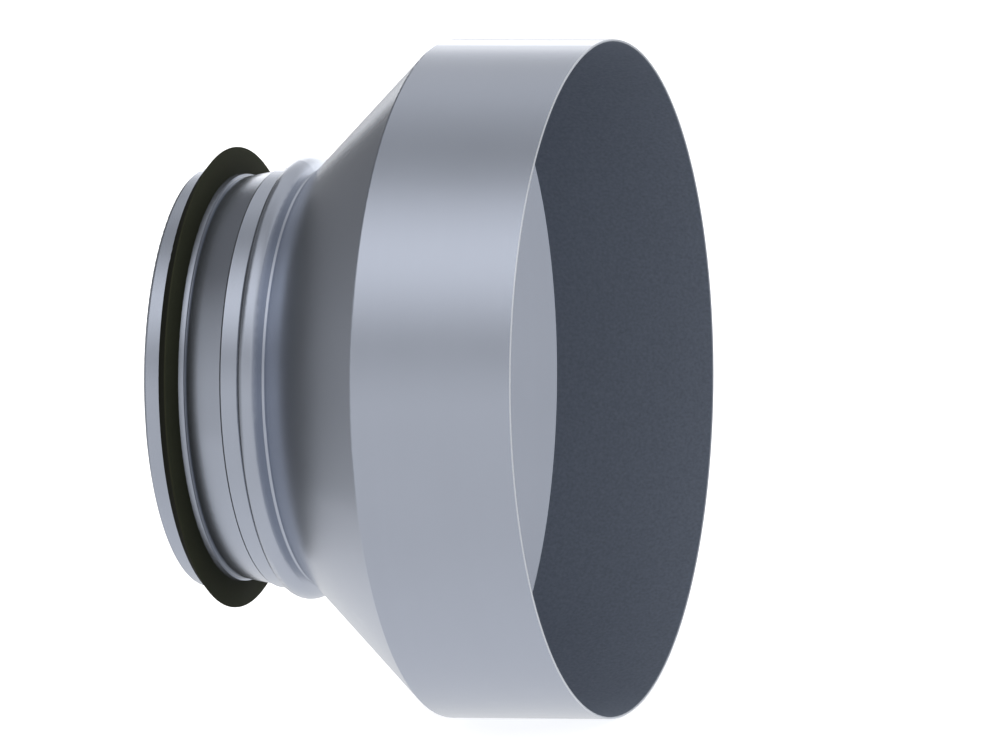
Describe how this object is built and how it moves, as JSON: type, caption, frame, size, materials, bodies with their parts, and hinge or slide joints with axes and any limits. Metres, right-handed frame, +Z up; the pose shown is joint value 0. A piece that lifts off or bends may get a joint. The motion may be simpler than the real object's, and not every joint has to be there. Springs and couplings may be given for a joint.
{
  "type": "duct reducer",
  "caption": "Concentric sheet-metal duct reducer with a plain socket, a short cone and a beaded spigot that carries a rubber lip seal.",
  "frame": {"origin": "centre of the socket's mouth, on the duct axis", "axes": "+X along the duct axis out of the socket's mouth, the spigot towards -X, +Z up"},
  "size_m": [0.1259, 0.2012, 0.2012],
  "materials": {
    "galvanised_steel": "satin, fine grain",
    "seal_rubber": "matte black"
  },
  "bodies": {
    "root": {"reducer_shell": "galvanised_steel", "spigot_collar": "galvanised_steel", "lip_seal": "seal_rubber"}
  },
  "joints": []
}
